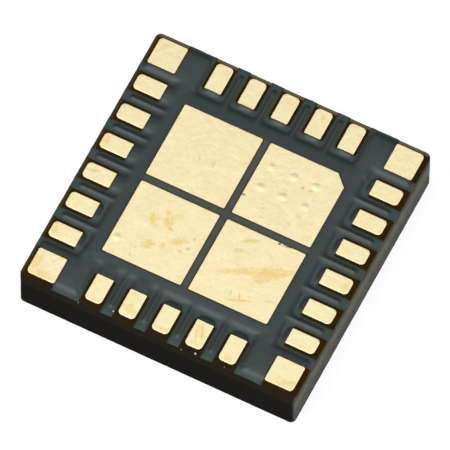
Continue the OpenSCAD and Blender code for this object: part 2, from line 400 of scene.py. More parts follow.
# %% [markdown]
# ## From a surface to a piece
# Marks such as dust or a smear could be painted into an image. Here each is a number on every
# point, which the material reads as an attribute, so it needs no image and stays in place.

# %% Pieces and their seat in the frame
crease_angle = math.radians(40)


def mesh_piece(name, points, faces):
    """A smooth-shaded object from points in millimetres and faces."""
    mesh = bpy.data.meshes.new(name)
    mesh.from_pydata(points * MM, [], faces)
    mesh.update()
    mesh.shade_smooth()
    piece = bpy.data.objects.new(name, mesh)
    bpy.context.scene.collection.objects.link(piece)
    return piece


def sheet(name, lines_x, lines_y, outline, top, low, layers=1, bulge=None, marks=None):
    """A sheet as a piece. Marks are fields of x, y, z and the outward direction in plan."""
    points, faces = sheet_surface(lines_x, lines_y, outline, top, low, layers, bulge)
    piece = mesh_piece(name, points, faces)
    piece.data.set_sharp_from_angle(angle=crease_angle)
    outward = slope_of(outline, points[:, 0], points[:, 1])
    for mark, field in (marks or {}).items():
        values = field(points[:, 0], points[:, 1], points[:, 2], outward)
        layer = piece.data.attributes.new(mark, "FLOAT", "POINT")
        layer.data.foreach_set("value", np.asarray(values, dtype=np.float32))
    print(name, "has", len(faces), "faces")
    return piece


def seat(piece, slot, *nodes):
    """The piece rides on the one body and stands for these solids, which it hides. The slot is not used.
    """
    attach(piece, "root")
    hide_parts(*nodes)
    return piece


print("creases are sharp from", round(math.degrees(crease_angle)), "degrees")

# %% [markdown]
# ## Uneven fields
# Dirt, saw marks and mottling need randomness that is the same on each run. Random numbers on a
# seeded lattice, blended smoothly between lattice points, give a field of any grain size.

# %% Seeded random field
lattice_side = 64
SEEDS = {
    "dust patch": 5, "dust grain": 6, "saw ridge": 11, "fine tear": 21, "wide tear": 22, "film": 23,
    "smear": 31, "speck": 33, "mask bit": 35, "plating": 41, "burr": 51,
}


def uneven(x, y, size, seed):
    """Smooth random field from -1 to 1: lattice values of one cell size, blended by smooth steps."""
    side = lattice_side
    lattice = np.random.default_rng(seed).uniform(-1, 1, (side, side))
    gx, gy = x / size, y / size
    ix, iy = np.floor(gx).astype(int), np.floor(gy).astype(int)
    tx, ty = smooth(gx - ix), smooth(gy - iy)
    ix, iy, jx, jy = ix % side, iy % side, (ix + 1) % side, (iy + 1) % side
    near = lattice[ix, iy] * (1 - tx) + lattice[jx, iy] * tx
    far = lattice[ix, jy] * (1 - tx) + lattice[jx, jy] * tx
    return near * (1 - ty) + far * ty


sample = uneven(np.linspace(0, 5, 200), np.zeros(200), 0.1, 1)
print("field runs from", round(sample.min(), 2), "to", round(sample.max(), 2))

# %% [markdown]
# ## Sawn walls
# Many packages are made as one strip, and a diamond blade cuts them apart. It leaves dull, slightly
# ridged walls. The wall that faces +X is pale: partly saw dust, partly painted light that stands for
# the side light on it. A bevelled box would give the outline, but the ridges need a wall with layers
# of points.

# %% Shape and dust of the walls
edge_break = 0.004
saw_ridge = 0.0015
ridge_size = 0.035
ridge_lean = 0.35
ridge_draw = 0.4
# dust and painted light: where the wall starts in plan, which way it faces, how much by depth, and its
# patches
wall_band, wall_fade = 0.03, 0.02
dust_turn = 0.45
dust_edge, dust_gain, dust_depth = 0.3, 0.7, 0.23
dust_loss, loss_depth, loss_fade = 0.33, 0.24, 0.3
dust_cover = 0.9
dust_patch, patch_size = 0.08, 0.12
dust_grain, grain_size, grain_squash = 0.14, 0.03, 2


def inset_body(x, y):
    """The body's outline, drawn in by the rounding of its edges."""
    return body_distance(x, y) + edge_break


def rounded_wall(bottom, top):
    """Wall push from the inset rim: a quarter circle at both edges, with fine saw ridges between."""

    def push(x, y, z):
        depth = np.clip(np.minimum(z - bottom, top - z) / edge_break, 0, 1)
        along = np.where(np.abs(x) > np.abs(y), y, x)
        ridge = saw_ridge * uneven(along + ridge_lean * z, z * ridge_draw, ridge_size, SEEDS["saw ridge"])
        return edge_break * np.sqrt(1 - (1 - depth) ** 2) + ridge * depth

    return push


def dust_and_painted_light(x, y, z, outward):
    """Saw dust and painted light on the wall that faces +X: most at half height, less near the edges,
    patchy.

    It is the product of four steps: on the wall, facing +X, by depth, and two uneven fields.
    """
    on_wall = smooth((np.maximum(np.abs(x), np.abs(y)) - half + wall_band) / wall_fade)
    facing = smooth((outward[0] - dust_turn) / dust_turn)
    depth = contact_top - z
    fresh = dust_edge + dust_gain * smooth(depth / dust_depth)
    fresh = fresh - dust_loss * smooth((depth - loss_depth) / loss_fade)
    patches = dust_cover + dust_patch * uneven(y, z, patch_size, SEEDS["dust patch"])
    patches = patches + dust_grain * uneven(y, z * grain_squash, grain_size, SEEDS["dust grain"])
    return on_wall * facing * np.clip(patches, 0, 1) * fresh


print("walls are broken by", edge_break, "mm and ridged by", saw_ridge, "mm")

# %% [markdown]
# ## Moulded epoxy and laminate
# The black body is epoxy filled with silica, with a shallow round dot in its moulded face. The
# laminate is woven glass in resin. Its upper face is bare in the notches and shows brown there,
# darker in the row at -Y and paler where the saw rubbed its rim.

# %% Moulded epoxy and laminate
dot_radius = 0.2
dot_depth = 0.02
dot_edge = 0.02
dot_inset = 0.5
dot_at = half - dot_inset
top_skin, top_fade = 0.003, 0.002
# the notch floors in the row at -Y are darker by this share
dark_row_share, dark_row_turn, dark_row_fade = 0.5, 0.5, 0.3
pale_band, pale_fade = 0.06, 0.03
pale_left, pale_turn = 0.6, 0.4
wall_step = 0.03
epoxy_layers = 20
laminate_layers = 12


def on_top(z):
    """1 on the laminate's upper face and 0 below it."""
    return smooth((z - core_top + top_skin) / top_fade)


def cut_top(x, y, z, outward):
    """The laminate's upper face, which is bare in the notches; it is darker in the row at -Y."""
    return on_top(z) * (1 - dark_row_share * smooth((-outward[1] - dark_row_turn) / dark_row_fade))


def far_top(x, y, z, outward):
    """Rim of the same face along the sides at +Y and -X, which the saw left paler, more so at +Y."""
    at_rim = smooth((body_distance(x, y) + pale_band) / pale_fade)
    facing = np.maximum(outward[1], -pale_left * outward[0])
    return on_top(z) * at_rim * smooth((facing - pale_turn) / (1 - pale_turn))


def mould_low(x, y):
    """The moulded face at the table with the shallow round first-contact dot."""
    away = np.hypot(x - dot_at, y - dot_at)
    return dot_depth * (1 - smooth((away - dot_radius + dot_edge / 2) / dot_edge))


near_edge = [half - edge_break, half - wall_step, half - 2 * wall_step]
body_edges = [-e for e in near_edge] + near_edge
wall_lines = grid_lines(body_edges, wall_step)
# the pale mark on both walls is partly saw dust, partly painted light on the wall facing +X
epoxy = sheet(
    "moulded_epoxy", wall_lines, wall_lines, inset_body, level(core_bottom), mould_low,
    layers=epoxy_layers, bulge=rounded_wall(0.0, core_bottom), marks={"dust_and_painted_light": dust_and_painted_light},
)
seat(epoxy, "moulding_compound", "mould_cap")
laminate = sheet(
    "sawn_laminate", wall_lines, wall_lines, inset_body, level(core_top), level(core_bottom),
    layers=laminate_layers, bulge=rounded_wall(core_bottom, core_top),
    marks={"dust_and_painted_light": dust_and_painted_light, "cut_top": cut_top, "far_top": far_top},
)
seat(laminate, "laminate", "laminate_core")

# %% [markdown]
# ## Cured mask
# Solder mask is a photo-cured resin, printed wet over the foil, so it flows: it stands high over
# copper, sinks into the moats, and slopes softly from one to the other. The eye reads that relief
# by the light on it, so it is real height and not bump. At the openings and at the sawn edge the
# film thins and rounds down.

# %% Relief of the mask
film_rise = 0.005
film_wave, wave_size = 0.0003, 0.06
# the fall into a moat, which starts inside the foil's edge
fall, fall_inside, fall_width, fall_skew = 0.013, 0.07, 0.11, 1.5
# the crown over wide foil, and the bead on the covered ends of contacts
crown, crown_width, crown_power = 0.008, 0.19, 1.5
lip, lip_start, lip_width, least_lip = 0.004, 0.03, 0.05, 0.3
# thinning at the openings and at the sawn edge
rim_drop, rim_width = 0.001, 0.02
edge_drop, edge_width, edge_inset = 0.002, 0.06, 0.002
# depth and width of the tears
TEARS = ((0.001, 0.03, "fine tear"), (0.002, 0.08, "wide tear"))


def mask_outline(x, y):
    """The body's outline less all openings; the sawn edge is slightly torn."""
    torn = sum(depth * uneven(x, y, size, SEEDS[use]) for depth, size, use in TEARS)
    return np.maximum(body_distance(x, y) + edge_inset + torn, -opening_distance(x, y))


def over_copper(x, y):
    """1 over the foil and 0 in the moats: a smooth step of t^skew, where t runs from 0 inside the
    foil's edge to 1 outside it."""
    t = np.clip((foil_distance(x, y) + fall_inside) / fall_width, 0, 1)
    return 1 - smooth(t**fall_skew)


def crowned(x, y):
    """Slow thinning of the film towards the foil's edge: the way to the edge, to a power."""
    return np.clip(foil_distance(x, y) / crown_width + 1, 0, 1) ** crown_power


def lipped(x, y):
    """Bead of film on the covered inner end of each signal contact, by the distance to its foil.

    The print drags it towards +Y, so it grows from the least share in the row at -Y to 1 a
    millimetre on.
    """
    dragged = least_lip + (1 - least_lip) * smooth(y + row_in)
    return dragged * smooth((lip_start - signal_foil(x, y - print_shift)) / lip_width)


def mask_level(x, y):
    """Height of the mask: a step over the copper, thinned at the openings and the sawn edge."""
    height = mask_top + film_rise - fall * (1 - over_copper(x, y)) - crown * crowned(x, y)
    height += lip * lipped(x, y)
    height -= rim_drop * (1 - smooth(opening_distance(x, y) / rim_width))
    height -= edge_drop * (1 - smooth(-body_distance(x, y) / edge_width))
    return height + film_wave * uneven(x, y, wave_size, SEEDS["film"])


def mask_floor(x, y):
    """Underside of the mask: on the foil where there is foil, else on the laminate."""
    return np.where(foil_distance(x, y) < 0, copper_top, core_top)


print("the mask is", round(mask_level(middle, middle)[0], 4), "mm high at the middle")

# %% [markdown]
# ## Marks of the mask
# The film's colour follows its thickness and what lies under it, and the lanes between the pads
# carry a painted glow of the gold's light. Four marks carry that to the material. They come from the
# same distances as the relief, so they stay in step with it.

# %% Marks and mesh of the mask
tint_start, tint_fade = 0.005, 0.04
shoulder_place, shoulder_width = 0.01, 0.022
lane_margin, lane_fade, lane_end_fade = 0.02, 0.02, 0.05
crossing_share, crossing_fade = 0.5, 0.1
thin_width = 0.02
mask_step = 0.0133


def copper_mark(x, y, z, outward):
    """1 over copper and 0 in the middle of a moat, for the tint."""
    return 1 - smooth((foil_distance(x, y) - tint_start) / tint_fade)


def shoulder_mark(x, y, z, outward):
    """Thin film on the foil's shoulder: exp(-((d - place) / width)^2), d the distance to its edge."""
    return np.exp(-(((foil_distance(x, y) - shoulder_place) / shoulder_width) ** 2))


def painted_glow_mark(x, y, z, outward):
    """Painted glow of the gold's light on the narrow lanes between the ground pads, half as strong where
    they cross.
    """
    small, large = np.minimum(np.abs(x), np.abs(y)), np.maximum(np.abs(x), np.abs(y))
    across = smooth((pad_low + lane_margin - small) / lane_fade)
    along = smooth((pad_high + lane_margin - large) / lane_end_fade)
    crossing = crossing_share + (1 - crossing_share) * smooth((large - pad_low) / crossing_fade)
    return across * along * crossing


def thin_mark(x, y, z, outward):
    """Thin, matt rim of the film at its openings: falls off exponentially from each edge."""
    return np.exp(-np.maximum(opening_distance(x, y), 0) / thin_width)


plan_edges = [half, row_in, pad_low, pad_high]
plan_edges += [-e for e in plan_edges]
notch_x = [along + s * notch_half for side, along in LANDS if side % 2 == 1 for s in (-1, 1)]
notch_y = [
    along + s * notch_half + print_shift for side, along in LANDS if side % 2 == 0 for s in (-1, 1)
]
# the mark for the lanes between the pads is a painted glow of the gold's light
mask = sheet(
    "cured_mask", grid_lines(notch_x + plan_edges, mask_step),
    grid_lines(notch_y + plan_edges, mask_step), mask_outline, mask_level, mask_floor,
    marks={"copper": copper_mark, "shoulder": shoulder_mark, "painted_gold_glow": painted_glow_mark, "thin": thin_mark},
)
seat(mask, "solder_mask", "solder_mask")

# %% [markdown]
# ## Smears on the gold
# Handling leaves tan smears of dried residue, a few dark specks and bits of mask on the gold.
# Painting them needs a place for each, so they are listed spindles. Their ragged edge comes
# from the uneven field.

# %% Smears on the gold
# middle x and y, half length, half width, turn in degrees, strength
TAN_SMEARS = [
    (0.93, -0.54, 0.32, 0.095, 26, 0.9), (0.60, -0.66, 0.34, 0.05, 28, 0.8),
    (0.85, -0.69, 0.12, 0.04, 20, 0.8), (0.75, -1.08, 0.22, 0.024, 24, 0.9),
    (0.48, -0.22, 0.11, 0.04, 28, 0.8), (0.42, -0.41, 0.06, 0.03, 15, 0.9),
    (0.53, -0.39, 0.08, 0.02, 5, 0.4), (0.49, -0.61, 0.03, 0.02, 0, 0.6),
    (0.52, -0.18, 0.07, 0.03, 26, 0.6), (1.10, -0.91, 0.05, 0.015, 20, 0.3),
    (0.84, -0.31, 0.07, 0.02, -32, 0.4), (-0.82, -0.50, 0.10, 0.08, -60, 0.9),
    (-0.57, -0.34, 0.08, 0.045, 40, 0.5), (-0.63, -0.46, 0.13, 0.07, -64, 0.85),
    (-0.69, -0.335, 0.05, 0.04, 0, 0.8), (-0.29, -0.79, 0.04, 0.025, 0, 0.5),
    (-0.40, -0.67, 0.12, 0.06, 26, 0.85), (-0.29, -0.62, 0.05, 0.035, 26, 0.6),
    (-0.54, -0.81, 0.06, 0.035, 75, 0.7), (-0.71, -0.87, 0.11, 0.075, 26, 0.9),
    (-0.78, -0.93, 0.04, 0.02, 30, 0.7), (-0.99, -0.32, 0.05, 0.03, 0, 0.3),
    (-0.76, 1.00, 0.065, 0.02, 20, 0.4), (-0.48, 0.98, 0.045, 0.025, -60, 0.4),
    (-0.49, 0.61, 0.07, 0.035, -80, 0.8), (-0.60, 0.57, 0.03, 0.015, 0, 0.3),
    (0.52, 0.80, 0.06, 0.02, 5, 0.6), (0.45, 0.77, 0.02, 0.015, 0, 0.5),
    (0.89, 0.41, 0.055, 0.035, -40, 0.6), (0.44, 0.17, 0.05, 0.03, 0, 0.3),
    (-1.86, -0.21, 0.08, 0.035, 15, 0.9), (-1.93, 0.26, 0.09, 0.055, 90, 0.8),
    (-1.96, 0.73, 0.055, 0.035, 90, 0.4), (-1.97, -0.73, 0.075, 0.025, 90, 0.4),
    (-1.93, -1.23, 0.09, 0.055, 90, 0.8), (-1.00, -1.94, 0.06, 0.025, 0, 0.4),
    (-0.50, -1.85, 0.10, 0.085, 0, 0.6), (0.00, -1.92, 0.085, 0.04, 0, 0.65),
    (0.47, -1.91, 0.075, 0.04, 0, 0.6), (1.00, -1.91, 0.085, 0.055, 0, 0.7),
    (0.50, -1.72, 0.11, 0.07, -67, 0.45), (-1.84, -0.72, 0.03, 0.02, 0, 0.3),
    (-1.93, -1.80, 0.20, 0.07, 90, 0.75), (-1.83, -1.92, 0.17, 0.08, 0, 0.8),
    (1.86, -1.91, 0.14, 0.075, 20, 0.75), (1.75, -1.85, 0.065, 0.03, 0, 0.4),
    (-1.87, 1.89, 0.135, 0.04, 48, 0.5), (-1.92, 1.69, 0.075, 0.045, 90, 0.3),
    (-0.04, 1.90, 0.06, 0.045, 0, 0.35), (0.53, 1.86, 0.075, 0.04, -70, 0.6),
    (1.93, -0.24, 0.09, 0.05, 90, 0.7), (1.96, -0.75, 0.075, 0.015, 90, 0.5),
]
DARK_SPECKS = [
    (0.65, -0.78, 0.035, 0.015, -20, 0.4), (1.12, -0.91, 0.08, 0.01, 20, 0.4),
    (0.59, -1.02, 0.05, 0.012, -76, 0.6), (0.72, -1.02, 0.055, 0.014, -61, 0.6),
    (-0.56, -0.54, 0.045, 0.02, -20, 0.6), (-0.20, -0.54, 0.03, 0.02, -60, 0.6),
    (-0.21, -0.70, 0.03, 0.025, 40, 0.7), (-0.29, -0.78, 0.025, 0.015, 0, 0.4),
    (-0.87, -1.12, 0.03, 0.012, -80, 0.5), (-0.92, -0.99, 0.02, 0.01, 90, 0.3),
    (-0.85, -0.99, 0.02, 0.01, 45, 0.4), (-0.69, 0.59, 0.055, 0.008, -60, 0.5),
    (-0.76, 0.56, 0.015, 0.012, 0, 0.4), (0.75, 0.82, 0.025, 0.025, 0, 0.6),
    (0.86, 0.83, 0.04, 0.025, 60, 0.6), (0.41, 0.31, 0.025, 0.02, 0, 0.6),
    (0.52, 0.24, 0.02, 0.015, 0, 0.5), (0.65, 0.27, 0.015, 0.015, 0, 0.4),
    (0.82, 0.25, 0.035, 0.015, 15, 0.6), (0.53, -1.75, 0.135, 0.015, -67, 0.5),
    (0.46, -1.79, 0.105, 0.015, -67, 0.4), (-1.74, -1.68, 0.02, 0.015, 0, 0.6),
]
MASK_BITS = [
    (0.08, 0.37, 0.035, 0.02, 0, 1.0), (0.85, -0.07, 0.02, 0.025, 0, 1.0),
    (0.96, -0.065, 0.055, 0.015, 0, 1.0),
]
smear_core, smear_fade, smear_taper = 1.5, 1.5, 1.5
streak, streak_size, streak_draw = 0.45, 0.025, 3
speckle, speckle_size = 0.5, 0.02


def smear_field(spindles, seed):
    """Strongest of several spindles at each point.

    A spindle is gone where (along / half length)^taper + (across / half width)^2 reaches the core
    value, and fades over the fade value before it. An uneven field makes its edge streaky.
    """

    def field(x, y, z, outward):
        strongest = np.zeros_like(x)
        for at_x, at_y, length, width, turn, amount in spindles:
            c, s = math.cos(math.radians(turn)), math.sin(math.radians(turn))
            u, v = x * c + y * s, y * c - x * s
            along = np.abs(u - at_x * c - at_y * s) / length
            across = np.abs(v - at_y * c + at_x * s) / width
            ragged = streak * uneven(u / streak_draw, v, streak_size, seed)
            ragged = ragged + speckle * uneven(u, v, speckle_size, seed + 1)
            inside = smear_core + ragged - along**smear_taper - across**2
            strongest = np.maximum(strongest, amount * smooth(inside / smear_fade))
        return strongest

    return field


print(len(TAN_SMEARS), "smears,", len(DARK_SPECKS), "specks,", len(MASK_BITS), "bits of mask")

# %% [markdown]
# ## Plating
# Each contact is copper foil with nickel and a flash of gold. Plating grows on every bare face of
# the foil and rounds its edges. Seven vias show as low domes, because the plug under the foil
# stands a little proud. The contacts' sides and rounded top edges are brown: partly residue, partly
# painted shade of the narrow gap round them.

# %% Shape and marks of the plating
plate_round, plate_drop = 0.001, 0.7
plate_side = 0.002
plate_wave, plate_wave_size = 0.0002, 0.05
# the brown of the sides, partly residue and partly painted shade, starts this far below the top
side_dark_start, side_dark_fade = 0.0006, 0.003
dome_radius, dome_height, dome_power = 0.068, 0.0022, 1.5
via_pitch = 0.333
via_columns, via_rows = 3, 2
via_low = (0.232, 0.577)
LONE_VIA = (-1.147, -0.968)
DOMES = [
    (via_low[0] + i * via_pitch, via_low[1] + j * via_pitch)
    for i in range(via_columns) for j in range(via_rows)
]
DOMES.append(LONE_VIA)


def plated_top(foil):
    """Flat plating with domes over the vias, rounded down by a quarter circle at the foil's edge.

    Where the mask ends the plating, the foil runs on under it and the plating stays flat. A dome is
    its height times (1 - share^2)^power, with share the way from its middle to its foot.
    """

    def top(x, y):
        depth = np.clip(-foil(x, y) / plate_round, 0, 1)
        height = contact_top - plate_round * (1 - np.sqrt(1 - (1 - depth) ** 2)) * plate_drop
        for at_x, at_y in DOMES:
            share = np.clip(np.hypot(x - at_x, y - at_y) / dome_radius, 0, 1)
            height = height + dome_height * (1 - share**2) ** dome_power
        return height + plate_wave * uneven(x, y, plate_wave_size, SEEDS["plating"]) * depth

    return top


def side_residue_and_shade(x, y, z, outward):
    """The contact's side, brown with residue and painted shade: from the top edge's rounding down to the
    laminate.
    """
    return smooth((contact_top - z - side_dark_start) / side_dark_fade)


# the side mark is brown residue and painted shade on the contacts' sides and rounded top edges
gold_marks = {
    "side": side_residue_and_shade,
    "stain": smear_field(TAN_SMEARS, SEEDS["smear"]),
    "dark": smear_field(DARK_SPECKS, SEEDS["speck"]),
    "mask_bit": smear_field(MASK_BITS, SEEDS["mask bit"]),
}
print(len(DOMES), "domes and", len(gold_marks), "marks on the plating")

# %% [markdown]
# ## Contacts and pads as sheets
# The side contacts stand free in their notches, so their plating also covers the foil's sides down
# to the laminate. The ground pads fill their windows, so their sheet ends at the foil.

# %% Plated contacts
RIM_STEPS = (0.0, 0.004, 0.01)
land_step = 0.012
pad_step = 0.01
plate_layers = 3


def rim_lines(low, high, step):
    """Grid lines across a contact, closer together along its two edges."""
    near = [low + s for s in RIM_STEPS] + [high - s for s in RIM_STEPS]
    return grid_lines(near, step)


def plated(name, node, outline, foil, bottom, step=land_step):
    """Gold-plated sheet over one contact solid."""
    low, high = node_box(node)
    grow = plate_side + print_shift if bottom == core_top else 0.0
    lines_x = rim_lines(low[0] - grow, high[0] + grow, step)
    lines_y = rim_lines(low[1] - grow, high[1] + grow, step)
    piece = sheet(
        name, lines_x, lines_y, outline, plated_top(foil), level(bottom), layers=plate_layers,
        marks=gold_marks,
    )
    return seat(piece, "gold_plating", node)


def contact_outline(side, along, start):
    """Outline of one side contact from a given start outwards, grown by the plating on its sides."""
    return lambda x, y: land_distance(x, y, side, along, plate_side, start)


def corner_foil(x, y):
    """Outline of the corner contacts' foil, which runs on under the mask."""
    return corner_distance(x, y, row_in - lap)


gold_pieces = []
for place, (side, along) in enumerate(LANDS, start=1):
    title = f"{place:02d}"
    outline = contact_outline(side, along, row_in)
    foil = contact_outline(side, along, row_in - lap)
    gold_pieces.append(plated("plated_land_" + title, "land_" + title, outline, foil, core_top))
for quarter in range(1, 5):
    corner, pad = f"corner_land_{quarter}", f"ground_pad_{quarter}"
    gold_pieces += [
        plated(f"plated_corner_{quarter}", corner, corner_distance, corner_foil, core_top),
        plated(f"plated_pad_{quarter}", pad, pad_distance, level(-lap), copper_top, pad_step),
    ]

# %% [markdown]
# ## Burrs at the sawn edge
# The saw leaves a few tufts of torn glass and resin along one edge. They could be sculpted, but a
# ball whose radius is uneven over its two angles does at this size, and it closes at both poles.

# %% Saw burrs
# middle and radius of each tuft
BURRS = [
    (0.582, -2.046, 0.724, 0.014), (0.380, -2.064, 0.708, 0.008), (-1.160, -2.062, 0.714, 0.009),
    (-0.676, -1.985, 0.745, 0.012), (1.016, -2.048, 0.722, 0.006),
]
burr_rows = 9
burr_turns = 14
lump = 0.45
lump_size = 0.7


def burr_shape(at_x, at_y, at_z, radius, seed):
    """Points and faces of one tuft: in each direction, radius times (1 + lump times uneven)."""
    down = np.linspace(0, math.pi, burr_rows + 2)[1:-1]
    around = np.linspace(0, 2 * math.pi, burr_turns, endpoint=False)
    polar, turn = np.meshgrid(down, around, indexing="ij")
    ways = np.stack([np.sin(polar) * np.cos(turn), np.sin(polar) * np.sin(turn), np.cos(polar)], axis=2)
    ways = np.concatenate([[[0.0, 0.0, 1.0]], ways.reshape(-1, 3), [[0.0, 0.0, -1.0]]])
    lumps = uneven(ways[:, 0] + ways[:, 2], ways[:, 1] - ways[:, 2], lump_size, seed)
    points = np.array([at_x, at_y, at_z]) + ways * (radius * (1 + lump * lumps))[:, None]
    here = 1 + np.arange(burr_rows * burr_turns).reshape(burr_rows, burr_turns)
    beside = np.roll(here, -1, axis=1)
    quads = np.stack([here[:-1], here[1:], beside[1:], beside[:-1]], axis=2).reshape(-1, 4)
    pole = np.zeros(burr_turns, dtype=int)
    caps = np.stack([pole, here[0], beside[0]], axis=1)
    feet = np.stack([here[-1], pole + len(ways) - 1, beside[-1]], axis=1)
    return points, [quads, caps, feet]


burr_points, burr_faces = [], []
for place, burr in enumerate(BURRS):
    points, groups = burr_shape(*burr, SEEDS["burr"] + place)
    burr_faces += [face for group in groups for face in (group + place * len(points)).tolist()]
    burr_points.append(points)
burrs = mesh_piece("saw_burrs", np.concatenate(burr_points), burr_faces)
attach(burrs, "root")
print(len(BURRS), "burrs with", len(burr_faces), "faces")

# %% [markdown]
# ## Materials: a few small helpers
# A colour is written as an sRGB hex value and turned to linear light by one function. One more
# function adds a shader node with its settings and links, so each finish below reads as a list.
# The last one lays colours over a base, each where its mark is strong.

# %% Colour and node helpers
def linear(hex_colour):
    """sRGB hex to linear RGBA: c / 12.92 when dark, else ((c + 0.055) / 1.055)^2.4."""
    parts = np.array([int(hex_colour[i:i + 2], 16) / 255 for i in (1, 3, 5)])
    values = np.where(parts <= 0.04045, parts / 12.92, ((parts + 0.055) / 1.055) ** 2.4)
    return (*values, 1.0)


def add(tree, kind, settings=None, links=None):
    """Adds a node; a setting or link names a property of the node or one of its inputs."""
    node = tree.nodes.new(kind)
    for key, value in (settings or {}).items():
        if isinstance(key, str) and hasattr(node, key):
            setattr(node, key, value)
        else:
            node.inputs[key].default_value = value
    for key, source in (links or {}).items():
        tree.links.new(source, node.inputs[key])
    return node


def start_material(name):
    """An empty material; returns it with its node tree and a link to Object coordinates."""
    material = bpy.data.materials.new(name)
    material.use_nodes = True
    tree = material.node_tree
    tree.nodes.clear()
    coords = add(tree, "ShaderNodeTexCoord")
    return material, tree, {"Vector": coords.outputs["Object"]}


def per_mm(size):
    """Texture scale for a pattern whose features are this many millimetres wide."""
    return 1.0 / (size * MM)


def lay_over(tree, colour, layers):
    """Lays colours over a base one after the other, each mixed in by the strength of its mark."""
    for mark, shade in layers.items():
        amount = add(tree, "ShaderNodeAttribute", {"attribute_name": mark})
        mixed = add(
            tree, "ShaderNodeMix", {"data_type": "RGBA", 7: linear(shade)},
            {0: amount.outputs["Fac"], 6: colour},
        )
        colour = mixed.outputs[2]
    return colour


print("white is", linear("#ffffff")[:3])

# %% [markdown]
# ## Electroless nickel with a flash of gold
# Immersion gold follows the nickel under it, which grows as fine nodules, so the metal is satin
# and not a mirror. Its tone drifts over about 0.2 mm. The nodules are a few thousandths of a
# millimetre wide. They are drawn at 0.03 mm, because finer ones would not show. Dried residue
# makes it tan and duller.

# %% Immersion gold
gold, tree, where = start_material("immersion_gold_on_nickel")
cloud = add(tree, "ShaderNodeTexNoise", {"Scale": per_mm(0.18), "Detail": 5.0, "Roughness": 1.0}, where)
nodule = add(tree, "ShaderNodeTexNoise", {"Scale": per_mm(0.03), "Detail": 2.0}, where)
tone = add(
    tree, "ShaderNodeMix", {"data_type": "RGBA", 6: linear("#fffad9"), 7: linear("#ebd08c")},
    {0: cloud.outputs[0]},
)
# the side colour is partly residue and partly painted shade
colour = lay_over(
    tree, tone.outputs[2],
    {"stain": "#e5c983", "dark": "#cdb075", "mask_bit": "#6e6a55", "side": "#3a2208"},
)
stain = add(tree, "ShaderNodeAttribute", {"attribute_name": "stain"})
rough = add(tree, "ShaderNodeMapRange", {"To Min": 0.3, "To Max": 0.42}, {"Value": stain.outputs["Fac"]})
grain = add(
    tree, "ShaderNodeBump", {"Strength": 0.45, "Distance": 0.0012 * MM},
    {"Height": nodule.outputs[0]},
)
shader = add(
    tree, "ShaderNodeBsdfPrincipled", {"Metallic": 1.0},
    {"Base Color": colour, "Roughness": rough.outputs[0], "Normal": grain.outputs[0]},
)
add(tree, "ShaderNodeOutputMaterial", None, {"Surface": shader.outputs[0]})
for piece in gold_pieces:
    piece.data.materials.append(gold)
print("gold on", len(gold_pieces), "pieces")

# %% [markdown]
# ## Cured solder mask
# The resin is a dark, slightly see-through green-blue with a soft shine that has a faint cool cast.
# Over bare laminate it looks teal, and over copper greyer. It is darker where it is stretched over
# the foil's shoulder, and thin, brown and matt at the openings. In the lanes between the pads it
# is lighter and warmer, a painted glow of light from the gold beside them. The fine tooth of the
# cured film is drawn at 0.02 mm, coarser than it is, to show.

# %% Solder mask finish
mask_finish, tree, where = start_material("photo_cured_solder_mask")
tooth = add(tree, "ShaderNodeTexNoise", {"Scale": per_mm(0.02), "Detail": 2.0}, where)
copper = add(tree, "ShaderNodeAttribute", {"attribute_name": "copper"})
tint = add(
    tree, "ShaderNodeMix", {"data_type": "RGBA", 6: linear("#1d3230"), 7: linear("#212a2b")},
    {0: copper.outputs["Fac"]},
)
# the lighter, warmer colour in the lanes between the pads is a painted glow of the gold's light
colour = lay_over(tree, tint.outputs[2], {"shoulder": "#191e1b", "painted_gold_glow": "#3a3b34", "thin": "#2b2510"})
thin = add(tree, "ShaderNodeAttribute", {"attribute_name": "thin"})
shine = add(tree, "ShaderNodeMapRange", {"To Min": 0.48, "To Max": 0.1}, {"Value": thin.outputs["Fac"]})
skin = add(tree, "ShaderNodeBump", {"Strength": 0.4, "Distance": 0.001 * MM}, {"Height": tooth.outputs[0]})
shader = add(
    tree, "ShaderNodeBsdfPrincipled", {"Roughness": 0.36, "Specular Tint": linear("#f1ffff")},
    {"Base Color": colour, "Specular IOR Level": shine.outputs[0], "Normal": skin.outputs[0]},
)
add(tree, "ShaderNodeOutputMaterial", None, {"Surface": shader.outputs[0]})
mask.data.materials.append(mask_finish)
print("mask finish on", mask.name)

# %% [markdown]
# ## Sawn laminate and moulded epoxy
# Both walls are cut by the same diamond blade, which leaves them matt. Resin and glass give the
# laminate a brown tone, and carbon black makes the epoxy nearly black. On the wall facing +X both
# turn pale grey, partly from saw dust and partly as painted light. The grit is that of the coarser
# silica grains and glass ends, about 0.03 mm.

